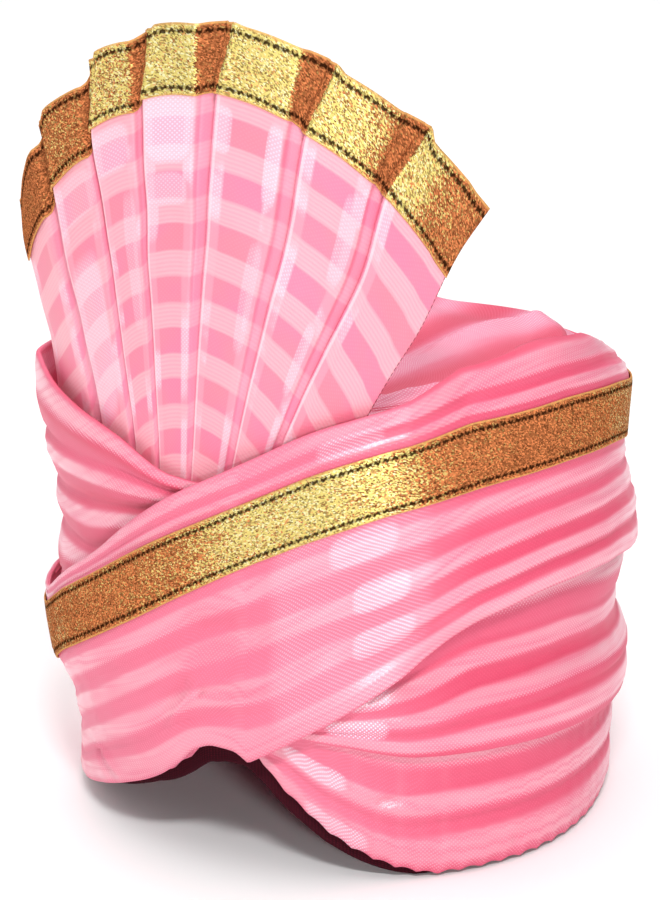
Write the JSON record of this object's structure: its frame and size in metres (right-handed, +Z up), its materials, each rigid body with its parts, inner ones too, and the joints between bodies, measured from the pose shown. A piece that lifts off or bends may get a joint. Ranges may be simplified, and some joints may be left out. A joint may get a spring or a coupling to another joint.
{
  "type": "turban",
  "caption": "Tied turban of pleated pink net cloth with a gold lace band across the front and a pleated fan standing up at the forehead.",
  "frame": {"origin": "the middle of the head opening, at the level of the surface that the rim rests on", "axes": "+Z up; -Y towards the forehead, where the fan stands; +X towards the wearer's left"},
  "size_m": [0.2136, 0.2405, 0.3076],
  "materials": {
    "cap_cloth": "woven, matt",
    "pink_net": "net with satin stripes, soft sheen",
    "gold_lace": "woven metallic thread"
  },
  "bodies": {
    "root": {"crown_cap": "cap_cloth", "lower_wrap": "pink_net", "middle_wrap": "pink_net", "left_wrap": "pink_net", "front_wrap": "pink_net", "lace_band": "gold_lace", "fan": "pink_net", "fan_lace": "gold_lace"}
  },
  "joints": []
}
